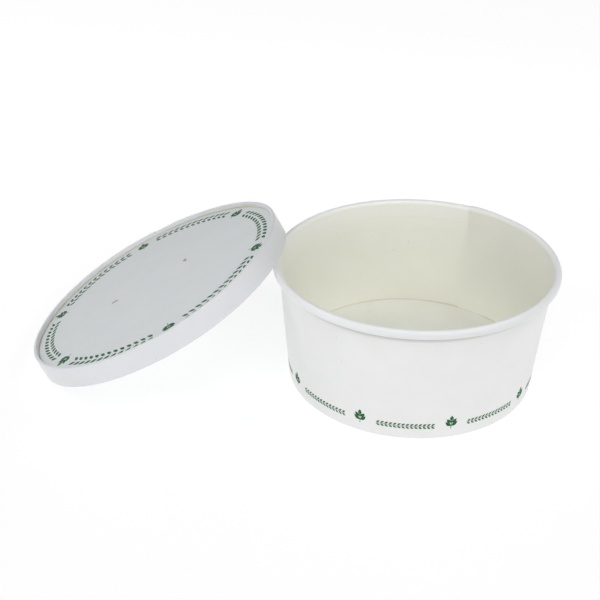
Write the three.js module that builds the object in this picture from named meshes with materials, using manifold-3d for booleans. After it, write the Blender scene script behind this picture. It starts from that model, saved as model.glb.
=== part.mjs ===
// A round paper salad bowl with a rolled rim, and its paper lid leaning on that rim.
// Millimetres, +Z up. The bowl's foot and the low edge of the lid stand on z = 0.

import * as THREE from 'three';
import { mergeVertices } from 'three/addons/utils/BufferGeometryUtils.js';
import Module from 'manifold-3d';

// Board, the same for every piece
const board = 0.45;          // thickness of the coated paper board
const play = 0.3;            // gap between two layers that press on each other in the real thing
const bend = 0.5;            // outside radius of a tight fold
const facets = 72;           // flat faces round a full turn
const bendSteps = 3;         // faces round a tight fold

// Bowl
const bowlHeight = 67.3;
const rimRadius = 75;        // outside of the rolled rim
const footRadius = 65.8;     // outside of the wall where it stands
const rollRadius = 2;         // outside radius of the roll itself
const rollEnd = -130;        // degrees round the roll, where its raw edge stops under the rim
const rollSteps = 13;
const baseRecess = 4.2;      // underside of the base above the table
const foldHeight = 3.6;      // height of the strip turned in and up at the foot
const bowlSeamAngle = 65.6;  // degrees from +X to the edge of the overlap that shows inside
const bowlSeamWidth = 8.5;

// Lid
const lidRadius = 75.5;      // outside of the skirt at the top
const skirtHeight = 12.3;
const skirtFlare = 0.3;      // how much wider the skirt is at its lower edge
const lidRecess = 2.4;       // depth from the top edge down to the lid's panel
const topRound = 0.9;        // radius of the lid's top edge
const lidTilt = 27.1;        // degrees from level
const lidSeamAngle = -76;    // degrees from the low end, where the skirt's ends overlap
const lidSeamWidth = 9;

// Steam vents: half-round slits in the lid's panel
const ventRadius = 2.8;
const ventSlit = 0.5;
const ventSweep = 170;       // degrees of arc
const vents = [              // heading: degrees from the low end to the middle of the arc
  { along: 23.6, across: 6.4, heading: -100 },
  { along: -18, across: -13.6, heading: -45 },
];

const rad = THREE.MathUtils.degToRad;
const point = (r, z) => new THREE.Vector2(r, z);
const wasm = await Module();
wasm.setup();

// Points of an arc in a profile, both ends included
function arc(centre, radius, fromDeg, toDeg, steps) {
  const points = [];
  for (let i = 0; i <= steps; i++) {
    const angle = rad(fromDeg + ((toDeg - fromDeg) * i) / steps);
    points.push(point(centre.x + radius * Math.cos(angle), centre.y + radius * Math.sin(angle)));
  }
  return points;
}

// The solid made by turning a profile (radius, height) round the Z axis
function turned(profile) {
  return new THREE.LatheGeometry(profile, facets).rotateX(Math.PI / 2);
}

// A profile whose last point meets its first
function loop(points) {
  return [...points, points[0].clone()];
}

function toSolid(geometry) {
  const bare = geometry.clone();
  bare.deleteAttribute('normal');
  bare.deleteAttribute('uv');
  const merged = mergeVertices(bare);
  return new wasm.Manifold(new wasm.Mesh({
    numProp: 3,
    vertProperties: merged.attributes.position.array,
    triVerts: merged.index.array,
  }));
}

function toGeometry(solid) {
  const mesh = solid.getMesh();
  const geometry = new THREE.BufferGeometry();
  geometry.setAttribute('position', new THREE.BufferAttribute(mesh.vertProperties, 3));
  geometry.setIndex(new THREE.BufferAttribute(mesh.triVerts, 1));
  geometry.computeVertexNormals();
  return geometry;
}

// The part of a turned shell that lies under an arc of the given width: one glued overlap
function overlap(profile, angleDeg, width, radius) {
  const half = width / radius / 2;
  const reach = 2 * radius;
  const slice = new THREE.Shape([
    point(0, 0),
    point(reach * Math.cos(rad(angleDeg) - half), reach * Math.sin(rad(angleDeg) - half)),
    point(reach * Math.cos(rad(angleDeg) + half), reach * Math.sin(rad(angleDeg) + half)),
  ]);
  const depth = 2 * bowlHeight;
  const wedge = new THREE.ExtrudeGeometry(slice, { depth, bevelEnabled: false });
  wedge.translate(0, 0, -depth / 2);
  return toSolid(turned(profile)).intersect(toSolid(wedge));
}

// The wall leans out so that it runs straight into the roll
const rollCentre = point(rimRadius - rollRadius, bowlHeight - rollRadius);
const toRoll = rollCentre.clone().sub(point(footRadius, 0));
const wallLean = Math.atan2(toRoll.x, toRoll.y) - Math.asin((rollRadius - board) / toRoll.length());
const rollStart = 180 - THREE.MathUtils.radToDeg(wallLean);

// A point at height z, lying `depth` inside the outer face of the wall
function inWall(depth, z) {
  return point(footRadius + z * Math.tan(wallLean) - depth / Math.cos(wallLean), z);
}

// Layers at the foot, from outside to inside: wall, base skirt, strip folded up
const baseOuter = board + play;
const baseInner = baseOuter + board;
const foldOuter = baseInner + play;
const foldInner = foldOuter + board;

function bowlWall() {
  const footCorner = point(inWall(0, bend).x - bend, bend);
  const foldCorner = point(inWall(foldInner, bend).x + bend, bend);
  const profile = loop([
    ...arc(foldCorner, bend, 180, 270, bendSteps),
    ...arc(footCorner, bend, -90, 0, bendSteps),
    ...arc(rollCentre, rollRadius - board, rollStart, rollEnd, rollSteps),
    ...arc(rollCentre, rollRadius, rollEnd, rollStart, rollSteps),
    inWall(board, board),
    inWall(foldOuter, board),
    inWall(foldOuter, foldHeight),
    inWall(foldInner, foldHeight),
  ]);
  const sunk = board / 2;
  const seamLow = baseRecess + board + play;
  const seamHigh = bowlHeight - 2 * rollRadius;
  const strip = loop([
    inWall(2 * board, seamLow),
    inWall(sunk, seamLow),
    inWall(sunk, seamHigh),
    inWall(2 * board, seamHigh),
  ]);
  const seamMiddle = bowlSeamAngle - THREE.MathUtils.radToDeg(bowlSeamWidth / rimRadius / 2);
  const seam = overlap(strip, seamMiddle, bowlSeamWidth, rimRadius);
  return toGeometry(toSolid(turned(profile)).add(seam));
}

function bowlBase() {
  const top = baseRecess + board;
  const skirtLow = board + play;
  const outerCorner = point(inWall(baseOuter, top - bend).x - bend, top - bend);
  return turned([
    point(0, baseRecess),
    inWall(baseInner, baseRecess),
    inWall(baseInner, skirtLow),
    inWall(baseOuter, skirtLow),
    ...arc(outerCorner, bend, 0, 90, bendSteps),
    point(0, top),
  ]);
}

// The lid is drawn level, with the middle of its top edge plane at the origin
const channel = 2 * play + board;            // room for the panel's turned-up edge
const ringWidth = channel + 2 * board;
const ringInner = lidRadius - ringWidth;

// Outside radius of the skirt at depth z below the top
function skirtAt(z) {
  return lidRadius + (skirtFlare * -z) / skirtHeight;
}

function lidRing() {
  const profile = loop([
    point(skirtAt(-skirtHeight) - board, -skirtHeight),
    point(skirtAt(-skirtHeight), -skirtHeight),
    ...arc(point(lidRadius - topRound, -topRound), topRound, 0, 90, bendSteps + 1),
    ...arc(point(ringInner + bend, -bend), bend, 90, 180, bendSteps),
    point(ringInner, -lidRecess),
    point(ringInner + board, -lidRecess),
    point(ringInner + board, -board),
    point(lidRadius - topRound, -board),
    point(skirtAt(-topRound) - board, -topRound),
  ]);
  const sunk = board / 2;
  const seamTop = -(lidRecess + 2 * board + 2 * play);
  const strip = loop([
    point(skirtAt(-skirtHeight) - 2 * board, -skirtHeight),
    point(skirtAt(-skirtHeight) - sunk, -skirtHeight),
    point(skirtAt(seamTop) - sunk, seamTop),
    point(skirtAt(seamTop) - 2 * board, seamTop),
  ]);
  const seam = overlap(strip, lidSeamAngle, lidSeamWidth, lidRadius);
  return toGeometry(toSolid(turned(profile)).add(seam));
}

// One half-round slit, as a bar that passes through the panel
function ventCutter({ along, across, heading }) {
  const start = rad(heading - ventSweep / 2);
  const end = rad(heading + ventSweep / 2);
  const outline = new THREE.Shape();
  outline.absarc(along, across, ventRadius + ventSlit / 2, start, end, false);
  outline.absarc(along, across, ventRadius - ventSlit / 2, end, start, true);
  outline.closePath();
  const depth = 4 * lidRecess;
  const cutter = new THREE.ExtrudeGeometry(outline, { depth, bevelEnabled: false, curveSegments: 9 });
  return toSolid(cutter.translate(0, 0, -depth));
}

function lidPanel() {
  const top = -(lidRecess + play);
  const flangeInner = ringInner + board + play;
  const flangeOuter = flangeInner + board;
  const flangeTop = -(board + play);
  const profile = [
    point(0, top - board),
    ...arc(point(flangeOuter - bend, top - board + bend), bend, -90, 0, bendSteps),
    point(flangeOuter, flangeTop),
    point(flangeInner, flangeTop),
    point(flangeInner, top),
    point(0, top),
  ];
  let panel = toSolid(turned(profile));
  for (const vent of vents) {
    panel = panel.subtract(ventCutter(vent));
  }
  return toGeometry(panel);
}

// Height of the middle of the lid's top when the low edge of its skirt is on the table
const tilt = rad(lidTilt);
const skirtLowRadius = lidRadius + skirtFlare;
const lidHeight = skirtLowRadius * Math.sin(tilt) + skirtHeight * Math.cos(tilt);

// Smallest distance from the skirt's lower edge to the circle inside the rolled rim,
// with the middle of the lid's top at -reach
function distanceToRim(reach) {
  let least = Infinity;
  const edgeRadius = skirtLowRadius - board / 2;
  const samples = 2880;
  for (let i = 0; i < samples; i++) {
    const angle = (i / samples) * 2 * Math.PI;
    const uphill = edgeRadius * Math.cos(angle);
    const x = -reach + uphill * Math.cos(tilt) + skirtHeight * Math.sin(tilt);
    const y = edgeRadius * Math.sin(angle);
    const z = lidHeight + uphill * Math.sin(tilt) - skirtHeight * Math.cos(tilt);
    const fromCircle = Math.hypot(Math.hypot(x, y) - rollCentre.x, z - rollCentre.y);
    least = Math.min(least, fromCircle);
  }
  return least;
}

// The lid is pushed towards the bowl until its skirt comes down on the rim
function lidReach() {
  const contact = rollRadius + board / 2 + play;
  let near = 1.7 * lidRadius;
  let far = 2.1 * lidRadius;
  while (far - near > 0.001) {
    const middle = (near + far) / 2;
    if (distanceToRim(middle) < contact) near = middle;
    else far = middle;
  }
  return far;
}

function mesh(name, geometry, color, roughness) {
  const material = new THREE.MeshStandardMaterial({ color, roughness, metalness: 0 });
  const piece = new THREE.Mesh(geometry, material);
  piece.name = name;
  return piece;
}

const bowl = new THREE.Group();
bowl.add(mesh('bowl_wall', bowlWall(), '#e9e9e6', 0.45));
bowl.add(mesh('bowl_base', bowlBase(), '#dddccf', 0.45));

// Local +X of the lid points to its low end once it has been turned about Z and tilted
const lid = new THREE.Group();
lid.add(mesh('lid_ring', lidRing(), '#dfe1e3', 0.45));
lid.add(mesh('lid_panel', lidPanel(), '#cfd1d4', 0.5));
lid.rotation.set(0, -tilt, Math.PI, 'YXZ');
lid.position.set(-lidReach(), 0, lidHeight);

// The row's origin is on the table, under the middle of bowl and lid together
const bowlAndLid = new THREE.Group();
bowlAndLid.add(bowl, lid);
const extent = new THREE.Box3().setFromObject(bowlAndLid, true);
bowlAndLid.position.set(-(extent.min.x + extent.max.x) / 2, 0, 0);

export default bowlAndLid;
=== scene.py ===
import math

import bpy
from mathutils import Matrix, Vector, noise


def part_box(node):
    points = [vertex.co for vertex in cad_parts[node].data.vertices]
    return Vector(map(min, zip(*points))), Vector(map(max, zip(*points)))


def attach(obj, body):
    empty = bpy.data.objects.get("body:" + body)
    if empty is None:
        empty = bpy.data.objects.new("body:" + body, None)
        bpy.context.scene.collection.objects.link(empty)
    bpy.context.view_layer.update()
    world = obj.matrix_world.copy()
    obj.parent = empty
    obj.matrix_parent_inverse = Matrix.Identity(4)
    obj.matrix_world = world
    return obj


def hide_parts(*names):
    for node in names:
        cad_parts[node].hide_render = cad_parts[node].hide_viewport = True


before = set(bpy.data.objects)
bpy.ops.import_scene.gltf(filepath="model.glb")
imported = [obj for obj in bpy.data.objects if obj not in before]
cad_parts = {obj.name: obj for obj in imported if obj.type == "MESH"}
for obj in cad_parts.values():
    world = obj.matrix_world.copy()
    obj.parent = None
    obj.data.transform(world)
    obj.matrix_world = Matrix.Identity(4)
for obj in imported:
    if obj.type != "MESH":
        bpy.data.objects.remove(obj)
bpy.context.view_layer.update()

mm = 0.001

# what the two paper pieces have in common, in millimetres
board = dict(
    thick=0.45,          # coated paper board
    play=0.3,            # between two layers that press on each other
    bend=0.5,            # outside of a tight fold
    seamGap=0.02,        # glue between the layers of an overlap
    seamSettle=11.0,     # degrees for the upper layer to come down beside the lower one
)

# which of a piece's materials a face takes
frontFace, backFace, bareEdge = 0, 1, 2


# 0 up to start, 1 from end on and a soft rise between
def ease(value, start, end):
    t = min(max((value - start) / (end - start), 0.0), 1.0)
    return t * t * (3 - 2 * t)


# levels of the noise that keep one unevenness apart from another
creaseLevel, lidLevel, panelLevel = 7.0, 3.0, 1.7


# smooth unevenness round an axis, from -1 to 1; a wider ring has more waves in one turn
def ripple(angle, ring, level):
    return noise.noise(Vector((ring * math.cos(angle), ring * math.sin(angle), level)))


# points along a round stretch of a section, (radius, height)
def arc(centre, radius, fromDeg, toDeg, steps):
    points = []
    for i in range(steps + 1):
        angle = math.radians(fromDeg + (toDeg - fromDeg) * i / steps)
        points.append((centre[0] + radius * math.cos(angle), centre[1] + radius * math.sin(angle)))
    return points


# points along a straight stretch, both ends included
def line(start, end, steps):
    return [tuple(s + (e - s) * i / steps for s, e in zip(start, end)) for i in range(steps + 1)]


# one strip of board in section: its front face, its back face and the stations where it is bare
class Section:
    def __init__(self):
        self.front = []
        self.back = []
        self.rawStations = []

    def add(self, front, back, raw=False):
        for f, b in zip(front, back):
            if raw:
                self.rawStations.append(len(self.front))
            self.front.append(f)
            self.back.append(b)

    # both faces of a fold, round one centre
    def fold(self, centre, frontRadius, backRadius, fromDeg, toDeg, steps):
        front = arc(centre, frontRadius, fromDeg, toDeg, steps)
        back = arc(centre, backRadius, fromDeg, toDeg, steps)
        self.add(front, back)


# how far the lower layer of a glued overlap lies behind the face, after so many degrees of strip
def seamDrop(travelled, overlapDeg):
    full = board["thick"] + board["seamGap"]
    return full * (1 - ease(travelled - overlapDeg, 0, board["seamSettle"]))


def smoothMesh(mesh, sharpDeg):
    mesh.polygons.foreach_set("use_smooth", [True] * len(mesh.polygons))
    mesh.set_sharp_from_angle(angle=math.radians(sharpDeg))


def addObject(name, verts, faces, slots, materials):
    mesh = bpy.data.meshes.new(name)
    mesh.from_pydata(verts, [], faces)
    for material in materials:
        mesh.materials.append(material)
    mesh.polygons.foreach_set("material_index", slots)
    mesh.update()
    smoothMesh(mesh, sharpDeg=38)
    piece = bpy.data.objects.new(name, mesh)
    bpy.context.scene.collection.objects.link(piece)
    return piece


# sweeps a section round its axis as one strip whose ends overlap and are glued
def sweepStrip(name, section, place, startDeg, overlapDeg, stepDeg, materials):
    front, back = section.front, section.back
    count = len(front)
    around = front + back[::-1]
    size = len(around)
    facing = [(Vector(f) - Vector(b)).normalized() for f, b in zip(front, back)]
    facing += facing[::-1]
    total = 360 + overlapDeg
    columns = round(total / stepDeg)
    verts, faces, slots = [], [], []
    for j in range(columns + 1):
        travelled = total * j / columns
        drop = seamDrop(travelled, overlapDeg)
        for (r, z), normal in zip(around, facing):
            verts.append(place(r - normal.x * drop, z - normal.y * drop, startDeg - travelled))
    for j in range(columns):
        here, there = j * size, (j + 1) * size
        for i in range(size):
            k = (i + 1) % size
            faces.append((here + i, here + k, there + k, there + i))
            if i < count - 1:
                slots.append(bareEdge if i in section.rawStations else frontFace)
            elif i == count - 1 or i == size - 1:
                slots.append(bareEdge)
            else:
                slots.append(backFace)
    # the strip's two ends
    for start, flip in ((0, False), (columns * size, True)):
        for i in range(count - 1):
            cap = (start + i, start + size - 1 - i, start + size - 2 - i, start + i + 1)
            faces.append(cap[::-1] if flip else cap)
            slots.append(bareEdge)
    return addObject(name, verts, faces, slots, materials)


# turns a section whose first station is on the axis into a full disc
def turnDisc(name, section, place, stepDeg, materials):
    front, back = section.front, section.back
    around = front[1:] + back[:0:-1]
    count = len(front) - 1
    size = len(around)
    columns = round(360 / stepDeg)
    verts, faces, slots = [], [], []
    for j in range(columns):
        for r, z in around:
            verts.append(place(r, z, -360 * j / columns))
    topMiddle = len(verts)
    verts.append(place(*front[0], 0))
    lowMiddle = len(verts)
    verts.append(place(*back[0], 0))
    for j in range(columns):
        here, there = j * size, ((j + 1) % columns) * size
        faces.append((topMiddle, there, here))
        for i in range(size - 1):
            faces.append((here + i, there + i, there + i + 1, here + i + 1))
        faces.append((here + size - 1, there + size - 1, lowMiddle))
        slots += [frontFace] * count + [bareEdge] + [backFace] * count
    return addObject(name, verts, faces, slots, materials)


# turns a closed outline, given clockwise, into a ring
def turnRing(name, outline, place, stepDeg, materials):
    columns, size = round(360 / stepDeg), len(outline)
    verts = [place(r, z, -360 * j / columns) for j in range(columns) for r, z in outline]
    faces = []
    for j in range(columns):
        here, there = j * size, ((j + 1) % columns) * size
        for i in range(size):
            k = (i + 1) % size
            faces.append((here + i, there + i, there + k, here + k))
    return addObject(name, verts, faces, [frontFace] * len(faces), materials)


def newMaterial(name, roughness, shine):
    material = bpy.data.materials.new(name)
    material.use_nodes = True
    shader = material.node_tree.nodes["Principled BSDF"]
    shader.inputs["Roughness"].default_value = roughness
    shader.inputs["Specular IOR Level"].default_value = shine
    return material, material.node_tree, shader


# the functions up to relief add one shader node each and return the socket with its result

def objectPlace(tree):
    return tree.nodes.new("ShaderNodeTexCoord").outputs["Object"]


# x, y and z of a place
def splitPlace(tree, place):
    node = tree.nodes.new("ShaderNodeSeparateXYZ")
    tree.links.new(place, node.inputs["Vector"])
    return node.outputs["X"], node.outputs["Y"], node.outputs["Z"]


def noiseField(tree, place, scale, detail, roughness=0.5, distortion=0.0):
    node = tree.nodes.new("ShaderNodeTexNoise")
    node.inputs["Scale"].default_value = scale
    node.inputs["Detail"].default_value = detail
    node.inputs["Roughness"].default_value = roughness
    node.inputs["Distortion"].default_value = distortion
    tree.links.new(place, node.inputs["Vector"])
    return node.outputs["Fac"]


# distance to the nearest of many scattered points
def scatter(tree, place, scale):
    node = tree.nodes.new("ShaderNodeTexVoronoi")
    node.inputs["Scale"].default_value = scale
    tree.links.new(place, node.inputs["Vector"])
    return node.outputs["Distance"]


def mapRange(tree, value, span, result=(0, 1)):
    node = tree.nodes.new("ShaderNodeMapRange")
    node.inputs["From Min"].default_value, node.inputs["From Max"].default_value = span
    node.inputs["To Min"].default_value, node.inputs["To Max"].default_value = result
    tree.links.new(value, node.inputs["Value"])
    return node.outputs["Result"]


# a and b are sockets or numbers
def calculate(tree, operation, a, b, clamp=False):
    node = tree.nodes.new("ShaderNodeMath")
    node.operation = operation
    node.use_clamp = clamp
    for socket, value in zip(node.inputs, (a, b)):
        if isinstance(value, bpy.types.NodeSocket):
            tree.links.new(value, socket)
        else:
            socket.default_value = value
    return node.outputs["Value"]


def calculateVector(tree, operation, place, fixed=(0, 0, 0)):
    node = tree.nodes.new("ShaderNodeVectorMath")
    node.operation = operation
    node.inputs[1].default_value = fixed
    tree.links.new(place, node.inputs[0])
    return node.outputs["Value" if operation == "LENGTH" else "Vector"]


def colourRamp(tree, value, span, colours):
    node = tree.nodes.new("ShaderNodeValToRGB")
    for stop, position, colour in zip(node.color_ramp.elements, span, colours):
        stop.position = position
        stop.color = (*colour, 1)
    tree.links.new(value, node.inputs["Fac"])
    return node.outputs["Color"]


def mixColour(tree, share, colour, other):
    node = tree.nodes.new("ShaderNodeMix")
    node.data_type = "RGBA"
    node.inputs["B"].default_value = (*other, 1)
    tree.links.new(share, node.inputs["Factor"])
    tree.links.new(colour, node.inputs["A"])
    return node.outputs["Result"]


def relief(tree, height, strength, depth, under=None):
    node = tree.nodes.new("ShaderNodeBump")
    node.inputs["Strength"].default_value = strength
    node.inputs["Distance"].default_value = depth * mm
    tree.links.new(height, node.inputs["Height"])
    if under is not None:
        tree.links.new(under, node.inputs["Normal"])
    return node.outputs["Normal"]


# how much of the painted shade shows beside the seam: it fades away from the seam and down the wall,
# and its edge at the seam is sharp at the top and soft lower down
def seamShadeShare(tree, fromAxis, tone):
    seam = math.radians(tone["seamDeg"])
    x, y, up = splitPlace(tree, fromAxis)
    heading = calculate(tree, "ARCTAN2", y, x)
    reach = mapRange(tree, heading, (seam - math.radians(tone["reachDeg"]), seam))
    height = mapRange(tree, up, (tone["from"] * mm, tone["to"] * mm))
    edgeWidths = (math.radians(tone["softDeg"]), math.radians(tone["sharpDeg"]))
    soft = mapRange(tree, up, (tone["softAt"] * mm, tone["sharpAt"] * mm), edgeWidths)
    past = calculate(tree, "DIVIDE", calculate(tree, "SUBTRACT", seam, heading), soft)
    edge = calculate(tree, "ADD", past, 0.5, clamp=True)
    return calculate(tree, "MULTIPLY", calculate(tree, "MULTIPLY", reach, edge), height)


# what all the board has in common
pulp = dict(
    cloudSpan=(0.3, 0.7),        # noise between the dark and the light colour
    speckScale=150,              # bits of brown fibre
    speckSpan=(0.03, 0.05),      # where a speck begins to fade and where it is gone
    speckShare=0.55,
    speckColour=(0.36, 0.34, 0.24),
    fibreDepth=0.02,
    peelStrength=0.25,
    peelDepth=0.06,
)


# board with its coating: cloudy pulp in the colour, soft fibres and a faint orange peel in the relief
# painted light and shade is laid over its colour one band after the other, by height, by radius or beside the
# seam
def boardMaterial(name, light, dark, roughness, coat=0.0, fibre=0.35, paintedLightAndShade=()):
    material, tree, shader = newMaterial(name, roughness, shine=0.4)
    shader.inputs["Coat Weight"].default_value = coat
    shader.inputs["Coat Roughness"].default_value = 0.3
    place = objectPlace(tree)

    cloud = noiseField(tree, place, scale=60, detail=6, roughness=0.65)
    colour = colourRamp(tree, cloud, pulp["cloudSpan"], (dark, light))
    speck = scatter(tree, place, pulp["speckScale"])
    speckShare = mapRange(tree, speck, pulp["speckSpan"], (pulp["speckShare"], 0))
    colour = mixColour(tree, speckShare, colour, pulp["speckColour"])

    fromAxis = calculateVector(tree, "SUBTRACT", place, (bowlAxis * mm, 0, 0))
    onPlane = calculateVector(tree, "MULTIPLY", fromAxis, (1, 1, 0))
    measures = dict(height=splitPlace(tree, place)[2], radius=calculateVector(tree, "LENGTH", onPlane))
    for tone in paintedLightAndShade:
        if tone["by"] == "seam":
            share = seamShadeShare(tree, fromAxis, tone)
        else:
            share = mapRange(tree, measures[tone["by"]], (tone["from"] * mm, tone["to"] * mm))
        colour = mixColour(tree, share, colour, tone["colour"])
    tree.links.new(colour, shader.inputs["Base Color"])

    fibres = noiseField(tree, place, scale=1700, detail=4, distortion=1.2)
    peel = noiseField(tree, place, scale=260, detail=2)
    fine = relief(tree, fibres, fibre, pulp["fibreDepth"])
    wide = relief(tree, peel, pulp["peelStrength"], pulp["peelDepth"], under=fine)
    tree.links.new(wide, shader.inputs["Normal"])
    return material


# flexo ink: dark green that lets a little board through where it is thin
def inkMaterial(name, full, thin):
    material, tree, shader = newMaterial(name, roughness=0.55, shine=0.3)
    cover = noiseField(tree, objectPlace(tree), scale=900, detail=3)
    colour = colourRamp(tree, cover, span=(0.35, 0.8), colours=(full, thin))
    tree.links.new(colour, shader.inputs["Base Color"])
    return material


baseLow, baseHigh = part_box("bowl_base")
bowlAxis = (baseLow[0] + baseHigh[0]) / 2 / mm
wallSeamDeg = 65.6       # the upper layer's edge that shows inside the bowl, from +X

# painted light and shade: what the wall's colour turns to, between two heights over the table or two radii
# from the bowl's axis
# painted shade: the outer wall darkens in a band just under the roll, where the roll's shadow falls
paintedShadeUnderRoll = {"by": "height", "from": 59.8, "to": 61.5, "colour": (0.61, 0.605, 0.58)}
# painted light: the inside turns paler and less cream towards the rim, where it takes more direct light
paintedLightUpperInside = {"by": "height", "from": 50, "to": 62, "colour": (0.935, 0.935, 0.88)}
# painted light: from this radius out the roll loses the inside's cream and turns bluish white, as it takes
# direct light
paintedLightOnRoll = {"by": "radius", "from": 71.2, "to": 72.4, "colour": (0.88, 0.89, 0.9)}
# painted shade: the roll's outer, lower part darkens, as it faces down away from the light
paintedShadeOnRoll = {"by": "radius", "from": 73.8, "to": 75.1, "colour": (0.75, 0.76, 0.765)}
# painted shade beside the seam, towards +X: it begins at the seam and fades over reachDeg; its edge is soft
# at one height, sharp at another
paintedShadeBesideSeam = {"by": "seam", "from": 14, "to": 42, "colour": (0.84, 0.84, 0.77),
               "seamDeg": wallSeamDeg, "reachDeg": 120,
               "softAt": 36, "softDeg": 9, "sharpAt": 54, "sharpDeg": 0.3}

outsideWhite = boardMaterial("outside white", light=(0.838, 0.846, 0.838), dark=(0.811, 0.819, 0.808),
                             roughness=0.42, coat=0.15, paintedLightAndShade=[paintedShadeUnderRoll])
insideCream = boardMaterial("inside cream", light=(0.918, 0.914, 0.832), dark=(0.894, 0.89, 0.803),
                            roughness=0.4, coat=0.2, paintedLightAndShade=[paintedLightUpperInside, paintedShadeBesideSeam, paintedLightOnRoll, paintedShadeOnRoll])
baseCream = boardMaterial("base cream", light=(0.83, 0.842, 0.775), dark=(0.80, 0.813, 0.745),
                          roughness=0.45, coat=0.1)
# painted shade: the lid's ring and panel take darker, cooler copies of the bowl's white board, standing for
# the lid getting less light
lidShadedWhite = boardMaterial("lid shaded white", light=(0.752, 0.768, 0.79), dark=(0.729, 0.745, 0.765),
                         roughness=0.42, coat=0.25)
panelShadedWhite = boardMaterial("panel shaded white", light=(0.757, 0.793, 0.805), dark=(0.732, 0.768, 0.78),
                           roughness=0.5)
rawEdge = boardMaterial("raw edge", light=(0.78, 0.73, 0.52), dark=(0.68, 0.63, 0.44),
                        roughness=0.9, fibre=0.8)
# painted shade: a darker copy of the raw edge, for the faces a vent's cut leaves; it stands for the shadow
# inside a slit
shadedCutEdge = boardMaterial("shaded cut edge", light=(0.50, 0.46, 0.33), dark=(0.42, 0.385, 0.27),
                        roughness=0.9, fibre=0.8)
# partly painted shade: the bead's darker beige stands for the shade in the corner between disc and wall
sealShadeBeige = boardMaterial("seal shade beige", light=(0.76, 0.735, 0.62), dark=(0.72, 0.695, 0.58),
                          roughness=0.45, coat=0.1)
leafInk = inkMaterial("leaf green ink", full=(0.007, 0.10, 0.022), thin=(0.02, 0.15, 0.045))
print("materials ready")


bowl = dict(
    height=67.3,
    rimRadius=75.0,
    footRadius=65.8,
    rollWide=2.05,         # half the roll's width and half its height
    rollTall=2.6,
    rollEndDeg=-158,
    rollTuck=0.6,          # how much the roll tightens on its way round
    rollClear=0.15,        # between the wall's straight stretch and the roll
    foldHeight=3.6,        # top of the strip folded in and up at the foot
    foldClear=0.4,         # between that fold and the straight stretch after it
    seamWidth=8.5,         # of the glued overlap, at the rim
    creaseHeight=58.2,     # faint ring pressed into the wall under the roll
    creaseWidth=0.45,
    creaseDepth=0.13,
    creaseShare=(0.55, 0.9),        # how much of it is pressed in: on average, and what comes and goes
    creaseRing=2.3,
    wobble=0.16,           # unevenness of the wall
    wobbleRing=1.6,
    wobbleRise=45,         # height over which it changes
    oval=0.10,             # and of its roundness
    ovalTurn=0.7,
    rimBend=(30, 64),      # heights between which shift and lift of the rim set in
    rimShift=0.42,         # the rim stands this far towards +X
    rimLift=(0.3, 0.12, -0.5),      # and this far up: evenly, with the cosine and with the sine of the angle
    seamCorner=0.35,       # the stiff double layer bends less, so the wall has a soft corner there
    seamRise=(22, 58),     # heights between which that corner grows
    seamReach=7.0,         # degrees over which it fades
    stepDeg=1.0,           # between two columns of the mesh
)
rollCentre = Vector((bowl["rimRadius"] - bowl["rollWide"], bowl["height"] - bowl["rollTall"]))
toRoll = rollCentre - Vector((bowl["footRadius"], 0))
wallLean = math.atan2(toRoll.x, toRoll.y) - math.asin((bowl["rollWide"] - board["thick"]) / toRoll.length)
wallOut = Vector((math.cos(wallLean), -math.sin(wallLean)))     # square to the wall, outward
wallUp = Vector((math.sin(wallLean), math.cos(wallLean)))


# a point so deep inside the outer face of the wall, at height z
def inWall(depth, z):
    return Vector((bowl["footRadius"] + z * math.tan(wallLean) - depth / math.cos(wallLean), z))


# 0 in the lower part of the wall, 1 at the rim
def nearRim(z):
    return ease(z, *bowl["rimBend"])


# how far the wall stands out at this angle and height
def wallShift(deg, z):
    angle = math.radians(deg)
    shift = bowl["wobble"] * ripple(angle, bowl["wobbleRing"], z / bowl["wobbleRise"])
    shift += bowl["oval"] * math.cos(2 * angle + bowl["ovalTurn"])
    average, change = bowl["creaseShare"]
    pressed = max(average + change * ripple(angle, bowl["creaseRing"], creaseLevel), 0.0)
    offCrease = (z - bowl["creaseHeight"]) / bowl["creaseWidth"]
    shift -= bowl["creaseDepth"] * pressed * math.exp(-offCrease * offCrease)
    fromSeam = abs((deg - wallSeamDeg + 180) % 360 - 180)
    shift += bowl["seamCorner"] * math.exp(-fromSeam / bowl["seamReach"]) * ease(z, *bowl["seamRise"])
    return shift + bowl["rimShift"] * math.cos(angle) * nearRim(z)


def bowlPlace(r, z, deg):
    angle = math.radians(deg)
    wide = r + wallShift(deg, z) * r / bowl["rimRadius"]
    even, cosine, sine = bowl["rimLift"]
    high = z + (even + cosine * math.cos(angle) + sine * math.sin(angle)) * nearRim(z)
    return Vector((bowlAxis + wide * math.cos(angle), wide * math.sin(angle), high)) * mm


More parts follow.
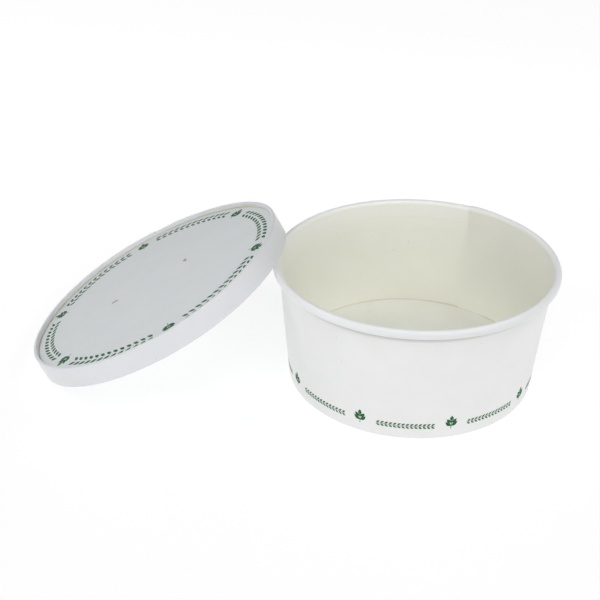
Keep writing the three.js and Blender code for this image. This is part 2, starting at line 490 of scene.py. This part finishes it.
# the section's front is the board's outer face: from the strip folded up inside the foot, round the
# fold, up the wall and to the inside of the roll
def makeBowlWall():
    thick, play, bend = board["thick"], board["play"], board["bend"]
    foldOuter = 2 * thick + 2 * play
    foldInner = foldOuter + thick
    foldLow = bend + bowl["foldClear"]
    leanDeg = math.degrees(wallLean)
    strip = Section()
    strip.add(line(inWall(foldInner, bowl["foldHeight"]), inWall(foldInner, foldLow), steps=4),
              line(inWall(foldOuter, bowl["foldHeight"]), inWall(foldOuter, foldLow), steps=4))
    strip.fold(inWall(foldInner - bend, bend), bend, bend - thick, 180 - leanDeg, 270, steps=5)
    strip.fold(inWall(bend, bend), bend, bend - thick, 270, 360 - leanDeg, steps=6)

    low = inWall(bend, bend) + wallOut * bend
    top = rollCentre - wallOut * (bowl["rollWide"] - thick)
    rise = (top - low).length
    steps, fineSteps = 40, 26
    levels = [rise * i / steps for i in range(1, steps - 4)]
    # closer together where the crease is and up to the roll
    fineFrom, fineTo = levels[-1], rise - bowl["rollClear"]
    levels += [fineFrom + (fineTo - fineFrom) * i / fineSteps for i in range(1, fineSteps + 1)]
    outside = [tuple(low + wallUp * t) for t in levels]
    inside = [tuple(low + wallUp * t - wallOut * thick) for t in levels]
    strip.add(outside, inside)

    rollSteps = 46
    rollStartDeg = 180 - leanDeg
    for i in range(rollSteps + 1):
        t = i / rollSteps
        angle = math.radians(rollStartDeg + (bowl["rollEndDeg"] - rollStartDeg) * t)
        wide = bowl["rollWide"] - bowl["rollTuck"] * t * t
        tall = bowl["rollTall"] - bowl["rollTuck"] * t * t
        inner = Vector(((wide - thick) * math.cos(angle), (tall - thick) * math.sin(angle)))
        outer = Vector((wide * math.cos(angle), tall * math.sin(angle)))
        strip.add([tuple(rollCentre + inner)], [tuple(rollCentre + outer)])

    overlapDeg = math.degrees(bowl["seamWidth"] / bowl["rimRadius"])
    wall = sweepStrip("bowlWall", strip, bowlPlace, wallSeamDeg, overlapDeg, bowl["stepDeg"],
                      [outsideWhite, insideCream, rawEdge])
    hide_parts("bowl_wall")
    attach(wall, "root")


base = dict(
    crown=0.35,        # the disc stands a little higher in the middle
    edgeDrop=0.14,     # and its flat edge lies this much below the solid's top
    foldDeg=(84, 6),   # the fold to the skirt, between level and upright
    foldClear=0.3,
    stepDeg=1.25,
    # face of the heat seal's bead, from the disc outward: (past the disc's edge, over its flat)
    sealFace=[(-0.15, 0.01), (0.28, 0.04), (0.55, 0.16)],
    sealHeight=0.6,    # how far the bead reaches up the wall,
    sealDepth=0.3,     # down into the gap
    sealSink=0.08,     # and into the wall
)


def makeBowlBase():
    thick, bend = board["thick"], board["bend"]
    top = baseHigh[2] / mm
    behind = thick + board["play"]        # the skirt's outer face, in from the wall's
    edge = inWall(behind, top - bend)[0] - bend
    disc = Section()
    rings = 44
    for i in range(rings + 1):
        r = edge * i / rings
        rise = base["crown"] * math.cos(r / edge * math.pi / 2) ** 2 - base["edgeDrop"]
        disc.add([(r, top + rise)], [(r, top + rise - thick)])
    disc.fold((edge, top - bend - base["edgeDrop"]), bend, bend - thick, *base["foldDeg"], steps=5)
    skirtTop, skirtLow = top - bend - base["foldClear"], behind
    disc.add(line(inWall(behind, skirtTop), inWall(behind, skirtLow), steps=6),
             line(inWall(behind + thick, skirtTop), inWall(behind + thick, skirtLow), steps=6))
    piece = turnDisc("bowlBase", disc, bowlPlace, base["stepDeg"], [baseCream, baseCream, rawEdge])
    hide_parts("bowl_base")
    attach(piece, "root")


# the bead of softened coating that fills the corner between disc and wall; its darker beige is painted shade
# along the line where they meet
def makeBaseSeal():
    thick = board["thick"]
    flat = baseHigh[2] / mm - base["edgeDrop"]
    edge = inWall(thick + board["play"], flat)[0] - board["bend"]
    high, low = flat + base["sealHeight"], flat - base["sealDepth"]
    outline = [(edge + past, flat + over) for past, over in base["sealFace"]]
    outline += [tuple(inWall(thick, high)),
                tuple(inWall(thick - base["sealSink"], high)),
                tuple(inWall(thick - base["sealSink"], low)),
                (outline[0][0], low)]
    bead = turnRing("baseSeal", outline, bowlPlace, base["stepDeg"], [sealShadeBeige])
    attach(bead, "root")


makeBowlWall()
makeBowlBase()
makeBaseSeal()
print("bowl ready")


# the lid is drawn level about the middle of its top edge and then put in its leaning place

lid = dict(
    radius=75.5,
    skirtHeight=12.3,
    skirtFlare=0.3,
    recess=2.4,
    topRound=0.9,
    tiltDeg=27.1,
    seamDeg=-76.0,        # from the low end; where the upper layer's edge shows
    seamWidth=9.0,
    rawLine=0.42,         # bare board that shows at the ring's inner edge
    rawLean=0.08,         # how far it leans in
    shoulderClear=0.3,    # between the skirt's straight stretch and the round top
    foldClear=0.2,        # and after the fold at the ring's inner edge
    wobble=0.14,          # unevenness of its round
    wobbleRing=2.1,
    wobbleRise=30,
    stepDeg=1.0,
    # how far the lid is out of true: (waves in one turn, cosine part, sine part)
    outOfRound=[(0, -0.11, 0.0), (2, -0.57, 0.25), (3, -0.25, -0.40)],
    liftAtTop=[(0, 0.05, 0.0), (1, -0.14, -0.30), (2, 0.35, -0.03), (3, -0.34, 0.0)],
    liftAtEdge=[(0, 0.07, 0.0), (1, -0.01, 0.08), (2, -0.05, -0.29), (3, -0.48, -0.01)],
)
lidTilt = math.radians(lid["tiltDeg"])
lidUp = Vector((-math.sin(lidTilt), 0, math.cos(lidTilt)))
lidAlong = Vector((-math.cos(lidTilt), 0, -math.sin(lidTilt)))       # towards the low end
lidAcross = Vector((0, -1, 0))                                       # towards the front
ringPoints = [v.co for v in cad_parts["lid_ring"].data.vertices]
alongs = [p.dot(lidAlong) for p in ringPoints]
lidMiddle = (lidAlong * (min(alongs) + max(alongs)) / 2 + lidUp * max(p.dot(lidUp) for p in ringPoints)) / mm
channel = 2 * board["play"] + board["thick"]                         # room for the panel's turned-up edge
ringInner = lid["radius"] - channel - 2 * board["thick"]


# the sum of some waves at an angle, which die away towards the middle
def waveSum(waves, angle, inward):
    total = 0
    for turns, cosine, sine in waves:
        total += inward ** turns * (cosine * math.cos(turns * angle) + sine * math.sin(turns * angle))
    return total


def lidPlace(r, z, deg):
    angle = math.radians(deg)
    inward = min(r / lid["radius"], 1.0)
    below = min(max(-z / lid["skirtHeight"], 0.0), 1.0)
    uneven = lid["wobble"] * ripple(angle, lid["wobbleRing"], z / lid["wobbleRise"] + lidLevel)
    wide = r + inward * (waveSum(lid["outOfRound"], angle, inward) + uneven)
    lift = (1 - below) * waveSum(lid["liftAtTop"], angle, inward)
    lift += below * waveSum(lid["liftAtEdge"], angle, inward)
    flat = lidAlong * wide * math.cos(angle) + lidAcross * wide * math.sin(angle)
    return (lidMiddle + flat + lidUp * (z + lift)) * mm


# the section's front is the board's outer face: up the skirt, over the top edge and down inside it
def makeLidRing():
    thick, bend = board["thick"], board["bend"]
    flareDeg = math.degrees(math.atan(lid["skirtFlare"] / lid["skirtHeight"]))
    strip = Section()
    low = (lid["radius"] + lid["skirtFlare"], -lid["skirtHeight"])
    high = (lid["radius"], -lid["topRound"] - lid["shoulderClear"])
    strip.add(line(low, high, steps=18),
              line((low[0] - thick, low[1]), (high[0] - thick, high[1]), steps=18))
    shoulder = (lid["radius"] - lid["topRound"], -lid["topRound"])
    strip.fold(shoulder, lid["topRound"], lid["topRound"] - thick, -flareDeg, 90, steps=9)
    strip.fold((ringInner + bend, -bend), bend, bend - thick, 90, 180, steps=7)
    foldEnd = -bend - lid["foldClear"]
    end = -lid["recess"]
    bare = end + lid["rawLine"]
    lean = lid["rawLean"]
    ringOuter = ringInner + thick
    strip.add(line((ringInner, foldEnd), (ringInner, bare), steps=5)[:-1],
              line((ringOuter, foldEnd), (ringOuter, bare), steps=5)[:-1])
    strip.add(line((ringInner, bare), (ringInner - lean, end), steps=2),
              line((ringOuter, bare), (ringOuter - lean, end), steps=2), raw=True)
    overlapDeg = math.degrees(lid["seamWidth"] / lid["radius"])
    ring = sweepStrip("lidRing", strip, lidPlace, lid["seamDeg"] + overlapDeg, overlapDeg, lid["stepDeg"],
                      [lidShadedWhite, lidShadedWhite, rawEdge])
    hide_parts("lid_ring")
    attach(ring, "root")


panel = dict(
    dome=0.8,              # the disc stands a little higher in the middle
    uneven=0.16,           # and is uneven by this much, over patches of this size
    patch=38,
    edgeFall=2.2,          # how fast that unevenness ends at the edge
    # the vent's faces take the shaded cut edge: its dark tan is painted shade for an open slit
    ventWide=4.2,          # a vent is a half moon cut into the top layer
    ventDeep=2.1,
    ventSag=0.25,          # how far its straight side bows in
    ventCut=0.3,           # how deep it is cut
    ventBend=0.3,          # how far the board round a vent is pressed down
    ventFall=2.5,          # and how fast that dies away from it
    vents=[dict(along=24.0, across=5.4, heading=-62.5), dict(along=-17.4, across=-13.6, heading=20)],
)
panelTop = -(lid["recess"] + board["play"])


# height of the panel's face at a place, with its unevenness
def panelHeight(along, across):
    away = math.hypot(along, across) / ringInner
    uneven = noise.noise(Vector((along / panel["patch"], across / panel["patch"], panelLevel)))
    uneven *= min(1.0, panel["edgeFall"] * (1 - min(away, 1.0)))
    height = panelTop + panel["dome"] * max(0.0, 1 - away * away) + panel["uneven"] * uneven
    for vent in panel["vents"]:
        away = math.hypot(along - vent["along"], across - vent["across"]) / panel["ventWide"]
        height -= panel["ventBend"] * math.exp(-panel["ventFall"] * away * away)
    return height


def panelPlace(r, z, deg):
    angle = math.radians(deg)
    along, across = r * math.cos(angle), r * math.sin(angle)
    lift = panelHeight(along, across) - panelTop if r < ringInner else 0.0
    return lidPlace(r, z, deg) + lidUp * lift * mm


# a bar with the outline of one vent; its faces carry the shaded cut edge, painted shade, into the vent
def ventCutter(vent):
    heading = math.radians(vent["heading"])
    half = panel["ventWide"] / 2
    roundSteps, straightSteps = 24, 12
    outline = []
    for i in range(roundSteps + 1):
        angle = math.pi * (i / roundSteps - 0.5)
        outline.append((panel["ventDeep"] * math.cos(angle), half * math.sin(angle)))
    for i in range(1, straightSteps):
        t = 1 - 2 * i / straightSteps
        outline.append((panel["ventSag"] * (1 - t * t), half * t))
    verts, count = [], len(outline)
    face = panelHeight(vent["along"], vent["across"])
    barTop = face + 2.0
    for z in (barTop, face - panel["ventCut"]):
        for forward, side in outline:
            x = vent["along"] + forward * math.cos(heading) - side * math.sin(heading)
            y = vent["across"] + forward * math.sin(heading) + side * math.cos(heading)
            verts.append(lidPlace(math.hypot(x, y), z, math.degrees(math.atan2(y, x))))
    faces = [tuple(range(count)), tuple(range(count, 2 * count))[::-1]]
    faces += [(i, count + i, count + (i + 1) % count, (i + 1) % count) for i in range(count)]
    return addObject("ventCutter", verts, faces, [bareEdge] * len(faces), [shadedCutEdge] * 3)


def applyCut(piece, cutter):
    cut = piece.modifiers.new("vent", "BOOLEAN")
    cut.operation = "DIFFERENCE"
    cut.solver = "EXACT"
    cut.object = cutter
    done = bpy.data.meshes.new_from_object(piece.evaluated_get(bpy.context.evaluated_depsgraph_get()))
    piece.modifiers.clear()
    piece.data = done
    bpy.data.objects.remove(cutter)


def makeLidPanel():
    thick, play, bend = board["thick"], board["play"], board["bend"]
    flangeInner = ringInner + thick + play
    flangeOuter = flangeInner + thick
    flangeTop = -(thick + play)
    edge = flangeOuter - bend
    disc = Section()
    rings = 74
    for i in range(rings + 1):
        r = edge * i / rings
        disc.add([(r, panelTop)], [(r, panelTop - thick)])
    disc.fold((edge, panelTop + bend - thick), bend - thick, bend, -80, 0, steps=5)
    disc.add(line((flangeInner, panelTop + bend), (flangeInner, flangeTop), steps=3),
             line((flangeOuter, panelTop + bend), (flangeOuter, flangeTop), steps=3))
    piece = turnDisc("lidPanel", disc, panelPlace, lid["stepDeg"], [panelShadedWhite, panelShadedWhite, shadedCutEdge])
    for vent in panel["vents"]:
        applyCut(piece, ventCutter(vent))
    smoothMesh(piece.data, sharpDeg=30)
    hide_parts("lid_panel")
    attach(piece, "root")


makeLidRing()
makeLidPanel()
print("lid ready")


# the print is plain leaf ornament, in thin films of ink that follow the board

ink = dict(
    lift=0.035,          # top of the film above the board
    sink=0.05,           # its underside, inside the board
    leafGap=0.1,         # between a leaf and its stem
    leafSteps=9,
    leafBelly=0.85,      # under 1, a leaf is widest nearer to its stalk
    leafTip=0.02,        # width at its ends, as a share of its widest
    sprigHeight=8.2,
    sprigStem=0.17,      # half the stem's width
    sprigStations=[0, 0.2, 0.4, 0.6, 0.72],      # shares of the height; the last is inside the top leaf
    sprigPairs=[(0.22, 1.0), (0.48, 0.82)],      # share of the height, size of the leaves
    sprigTop=0.62,       # where the leaf at the top begins
    sprigSpread=54,
    sprigBow=16,
    leafLength=4.0,
    leafWidth=1.9,
    rowStep=2.1,         # from one pair of leaves to the next
    rowLeaf=2.1,
    rowWidth=1.0,
    rowBack=0.7,         # from the pair's middle back to the stalk ends
    rowGap=0.22,         # from the row's middle line to a stalk end
    rowSpread=42,
    rowBow=14,
)


# collects strokes drawn on a flat (along, up) sheet and lays them on a curved face
class InkSheet:
    def __init__(self, lay):
        self.lay = lay       # lay(along, up, lift) gives the place in the scene
        self.verts = []
        self.faces = []

    # a stroke is a list of (along, up, half width); it becomes a closed film
    def stroke(self, points):
        start = len(self.verts)
        for i, (x, y, half) in enumerate(points):
            before, after = points[max(i - 1, 0)], points[min(i + 1, len(points) - 1)]
            way = Vector((after[0] - before[0], after[1] - before[1])).normalized()
            side = Vector((-way.y, way.x)) * half
            for lift in (ink["lift"], -ink["sink"]):
                for part in (1, 0, -1):
                    self.verts.append(self.lay(x + side.x * part, y + side.y * part, lift))
        for i in range(len(points) - 1):
            a, b = start + 6 * i, start + 6 * (i + 1)
            self.faces += [(a, a + 1, b + 1, b), (a + 1, a + 2, b + 2, b + 1)]
            self.faces += [(a + 4, a + 3, b + 3, b + 4), (a + 5, a + 4, b + 4, b + 5)]
            self.faces += [(a + 3, a, b, b + 3), (a + 2, a + 5, b + 5, b + 2)]
        for a, flip in ((start, False), (start + 6 * (len(points) - 1), True)):
            for cap in ((a, a + 3, a + 4, a + 1), (a + 1, a + 4, a + 5, a + 2)):
                self.faces.append(cap[::-1] if flip else cap)

    # a pointed leaf from its stalk end, growing at an angle from level and bowed by so many degrees
    def leaf(self, x, y, deg, length, width, bow=0.0):
        x += ink["leafGap"] * math.cos(math.radians(deg))
        y += ink["leafGap"] * math.sin(math.radians(deg))
        points = []
        for i in range(ink["leafSteps"] + 1):
            t = i / ink["leafSteps"]
            angle = math.radians(deg + bow * (t - 0.5))
            half = 0.5 * width * max(math.sin(math.pi * t ** ink["leafBelly"]), ink["leafTip"])
            points.append((x + length * t * math.cos(angle), y + length * t * math.sin(angle), half))
        self.stroke(points)

    # an upright sprig about its middle: a stem, pairs of leaves and one at the top
    def sprig(self, x, y, size):
        tall = ink["sprigHeight"] * size
        foot = y - tall / 2
        half = ink["sprigStem"] * size
        self.stroke([(x, foot + tall * t, half) for t in ink["sprigStations"]])
        for part, grow in ink["sprigPairs"]:
            for side in (1, -1):
                self.leaf(x, foot + tall * part, 90 + side * ink["sprigSpread"],
                          ink["leafLength"] * grow * size, ink["leafWidth"] * size, -side * ink["sprigBow"])
        top = ink["sprigTop"]
        self.leaf(x, foot + tall * top, 90, tall * (1 - top), ink["leafWidth"] * size)

    # a row of small leaves in pairs, all pointing along the row
    def row(self, middle, y, length, size, stem):
        step = ink["rowStep"] * size
        pairs = int(length / step)
        reach = pairs * step / 2
        if stem:
            self.stroke([(middle - reach + 2 * reach * i / pairs, y, stem) for i in range(pairs + 1)])
        for i in range(pairs):
            x = middle + (i - (pairs - 1) / 2) * step
            for side in (1, -1):
                self.leaf(x - ink["rowBack"] * size, y + side * ink["rowGap"] * size, side * ink["rowSpread"],
                          ink["rowLeaf"] * size, ink["rowWidth"] * size, -side * ink["rowBow"])

    def make(self, name):
        piece = addObject(name, self.verts, self.faces, [frontFace] * len(self.faces), [leafInk])
        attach(piece, "root")


# sprigs at even distances round a girth, with a row of small leaves between each two
def makePrint(name, lay, radius, plan):
    sheet = InkSheet(lay)
    girth = 2 * math.pi * radius
    for k in range(plan["sprigs"]):
        middle = girth * (plan["firstDeg"] / 360 + k / plan["sprigs"])
        sheet.sprig(middle, plan["sprigMiddle"], plan["sprigSize"])
        between = middle + girth / plan["sprigs"] / 2
        sheet.row(between, plan["rowMiddle"], plan["rowLength"], plan["rowSize"], plan["rowStem"])
    sheet.make(name)


wallPrint = dict(
    sprigs=9,
    firstDeg=-110,
    sprigMiddle=9.6,       # above the table, along the wall
    sprigSize=1.0,
    rowMiddle=8.0,
    rowLength=31,
    rowSize=1.0,
    rowStem=0.11,          # half its width
)


# along runs anticlockwise round the foot, up from the table
def layOnWall(along, up, lift):
    bend = board["bend"]
    spot = inWall(0, bend) + wallUp * (up - bend) + wallOut * lift
    return bowlPlace(spot.x, spot.y, math.degrees(along / bowl["footRadius"]))


lidPrint = dict(
    radius=66.6,
    sprigs=6,
    firstDeg=8,
    sprigMiddle=0,         # out from the radius
    sprigSize=1.2,
    rowMiddle=0,
    rowLength=56,
    rowSize=1.95,
    rowStem=0,
)


# along runs clockwise round the panel, up points towards its rim
def layOnPanel(along, up, lift):
    angle = -along / lidPrint["radius"]
    return panelPlace(lidPrint["radius"] + up, panelTop + lift, math.degrees(angle))


makePrint("wallPrint", layOnWall, bowl["footRadius"], wallPrint)
makePrint("lidPrint", layOnPanel, lidPrint["radius"], lidPrint)
print("print ready")


# lengths in metres
studio = dict(
    floorSize=8.0,
    floorDrop=0.00002,     # keeps the floor clear of the foot
    floorColour=(0.3, 0.3, 0.3),
    floorGlow=0.75,
    farGlow=0.125,         # what the floor's glow gains towards the back
    farGlowBetween=(-0.1, 0.4),
    skyGlow=0.9,           # brightness of the backdrop near the floor
    skyFade=(0.12, 0.42),  # sine of the heights between which it darkens
    aim=(0.03, 0.0, 0.03),
    lamps=[                # square soft boxes: where, how wide, how strong
        dict(name="high front", spot=(0.1, -0.9, 1.5), wide=1.0, power=8.9),
        dict(name="back left", spot=(-1.3, 1.2, 0.9), wide=1.0, power=4.15),
        dict(name="near front left", spot=(-0.55, -0.75, 0.65), wide=0.35, power=1.75),
        dict(name="near front right", spot=(0.7, -0.75, 0.65), wide=0.35, power=2.35),
        dict(name="near left", spot=(-0.5, -0.15, 0.5), wide=0.2, power=0.8),
        dict(name="near right", spot=(0.38, 0.0, 0.45), wide=0.2, power=0.6),
    ],
)


def makeFloor():
    half, low = studio["floorSize"] / 2, -studio["floorDrop"]
    corners = [(-half, -half, low), (half, -half, low), (half, half, low), (-half, half, low)]
    material, tree, shader = newMaterial("pale floor", roughness=0.9, shine=0.1)
    shader.inputs["Base Color"].default_value = (*studio["floorColour"], 1)
    shader.inputs["Emission Color"].default_value = (1, 1, 1, 1)
    back = splitPlace(tree, objectPlace(tree))[1]
    glow = (studio["floorGlow"], studio["floorGlow"] + studio["farGlow"])
    tree.links.new(mapRange(tree, back, studio["farGlowBetween"], glow), shader.inputs["Emission Strength"])
    floor = addObject("floor", corners, [(0, 1, 2, 3)], [frontFace], [material])


def makeSky():
    world = bpy.data.worlds.new("studio")
    bpy.context.scene.world = world
    world.use_nodes = True
    tree = world.node_tree
    tree.nodes.clear()
    output = tree.nodes.new("ShaderNodeOutputWorld")
    background = tree.nodes.new("ShaderNodeBackground")
    way = tree.nodes.new("ShaderNodeTexCoord").outputs["Generated"]
    fade = mapRange(tree, splitPlace(tree, way)[2], studio["skyFade"], (studio["skyGlow"], 0))
    tree.links.new(fade, background.inputs["Strength"])
    tree.links.new(background.outputs["Background"], output.inputs["Surface"])


def makeLamps():
    for lamp in studio["lamps"]:
        light = bpy.data.lights.new(lamp["name"], "AREA")
        light.energy = lamp["power"]
        light.size = lamp["wide"]
        box = bpy.data.objects.new(lamp["name"], light)
        box.location = lamp["spot"]
        aim = Vector(studio["aim"]) - box.location
        box.rotation_euler = aim.to_track_quat("-Z", "Y").to_euler()
        bpy.context.scene.collection.objects.link(box)


# the camera, in millimetres
eye = dict(
    back=507.32,           # in front of the bowl's axis
    high=335.68,           # over the table
    turnDeg=6.794,         # to the left
    downDeg=30.237,
    focalPixels=1093.92,
    imagePixels=600,
    sensor=36,
)


def makeCamera():
    data = bpy.data.cameras.new("photo view")
    data.sensor_width = eye["sensor"]
    data.lens = eye["sensor"] * eye["focalPixels"] / eye["imagePixels"]
    data.clip_start = 0.01
    data.clip_end = 50
    camera = bpy.data.objects.new("photo view", data)
    camera.location = Vector((bowlAxis, -eye["back"], eye["high"])) * mm
    camera.rotation_euler = (math.radians(90 - eye["downDeg"]), 0, math.radians(eye["turnDeg"]))
    bpy.context.scene.collection.objects.link(camera)
    bpy.context.scene.camera = camera


makeFloor()
makeSky()
makeLamps()
makeCamera()
bpy.context.scene.view_settings.view_transform = "Standard"
print("studio ready")

bpy.context.view_layer.update()
